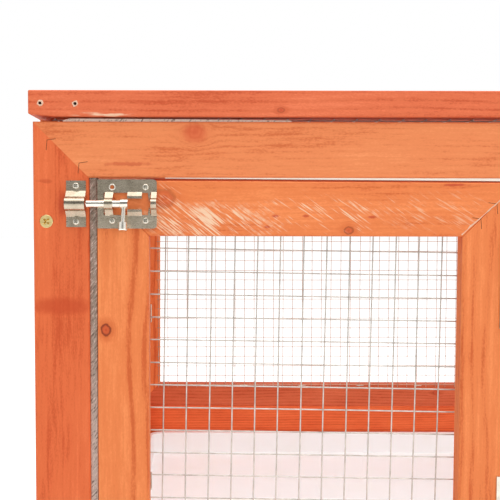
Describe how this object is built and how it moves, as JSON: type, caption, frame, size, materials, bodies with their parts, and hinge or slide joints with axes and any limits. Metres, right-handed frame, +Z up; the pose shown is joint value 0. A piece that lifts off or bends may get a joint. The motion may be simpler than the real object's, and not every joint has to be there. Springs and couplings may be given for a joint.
{
  "type": "rabbit cage",
  "caption": "Free-standing wooden rabbit cage with wire net walls, a hinged net lid, a side-hung net door with a barrel bolt, and a pull-out floor tray.",
  "frame": {"origin": "bottom centre of the whole object's box, level with the feet", "axes": "+X along the front from the bolt towards the hinge side, +Y to the rear, +Z up; the front with the door faces -Y"},
  "size_m": [0.904, 0.6162, 0.4015],
  "materials": {
    "stained_wood": "orange-brown stain on planed softwood, satin",
    "wire": "galvanised welded wire, dull",
    "bolt_steel": "bright zinc-plated pressed steel",
    "hinge_steel": "bright zinc-plated steel",
    "yellow_zinc": "yellow-passivated zinc-plated screws",
    "tray_plastic": "white moulded plastic, slightly matt"
  },
  "bodies": {
    "root": {"front_top_rail": "stained_wood", "front_bottom_rail": "stained_wood", "front_left_stile": "stained_wood", "front_right_stile": "stained_wood", "front_door_post": "stained_wood", "front_middle_post": "stained_wood", "front_net": "wire", "rear_top_rail": "stained_wood", "rear_bottom_rail": "stained_wood", "rear_left_stile": "stained_wood", "rear_right_stile": "stained_wood", "rear_middle_post": "stained_wood", "rear_net": "wire", "left_top_rail": "stained_wood", "left_bottom_rail": "stained_wood", "left_front_stile": "stained_wood", "left_rear_stile": "stained_wood", "left_net": "wire", "right_top_rail": "stained_wood", "right_bottom_rail": "stained_wood", "right_front_stile": "stained_wood", "right_rear_stile": "stained_wood", "right_net": "wire", "left_base_board": "stained_wood", "right_base_board": "stained_wood", "front_base_rail": "stained_wood", "rear_base_board": "stained_wood", "front_floor_slat": "stained_wood", "middle_floor_slat": "stained_wood", "rear_floor_slat": "stained_wood", "bolt_keeper": "bolt_steel", "keeper_screws": "bolt_steel", "frame_screws": "yellow_zinc", "rear_frame_screws": "yellow_zinc", "door_hinge_frame_leaves": "hinge_steel", "door_hinge_pins": "hinge_steel", "post_hinge_screws": "hinge_steel", "lid_hinge_frame_leaves": "hinge_steel", "lid_hinge_pins": "hinge_steel", "rear_hinge_screws": "hinge_steel"},
    "door": {"door_top_rail": "stained_wood", "door_bottom_rail": "stained_wood", "door_left_stile": "stained_wood", "door_right_stile": "stained_wood", "door_net": "wire", "bolt_plate": "bolt_steel", "bolt_screws": "bolt_steel", "door_hinge_door_leaves": "hinge_steel", "door_hinge_screws": "hinge_steel"},
    "bolt_rod": {"bolt_rod": "bolt_steel"},
    "bolt_lever": {"bolt_lever": "bolt_steel"},
    "lid": {"lid_front_rail": "stained_wood", "lid_rear_rail": "stained_wood", "lid_left_rail": "stained_wood", "lid_right_rail": "stained_wood", "lid_middle_rail": "stained_wood", "lid_net": "wire", "lid_hinge_lid_leaves": "hinge_steel", "lid_hinge_screws": "hinge_steel"},
    "tray": {"tray": "tray_plastic"}
  },
  "joints": [
    {"name": "door_hinge", "type": "hinge", "parent": "root", "child": "door", "pos_m": [-0.1865, -0.29938, 0.23275], "axis": [0, 0, 1], "range_deg": [0, 170]},
    {"name": "bolt_slide", "type": "slide", "parent": "door", "child": "bolt_rod", "axis": [1, 0, 0], "range_m": [-0.004, 0.012]},
    {"name": "bolt_lever_turn", "type": "hinge", "parent": "bolt_rod", "child": "bolt_lever", "pos_m": [-0.4007, -0.30068, 0.3408], "axis": [-1, 0, 0], "range_deg": [-20, 160]},
    {"name": "lid_hinge", "type": "hinge", "parent": "root", "child": "lid", "pos_m": [0, 0.30562, 0.38625], "axis": [-1, 0, 0], "range_deg": [0, 175]},
    {"name": "tray_slide", "type": "slide", "parent": "root", "child": "tray", "axis": [0, -1, 0], "range_m": [0, 0.52]}
  ]
}
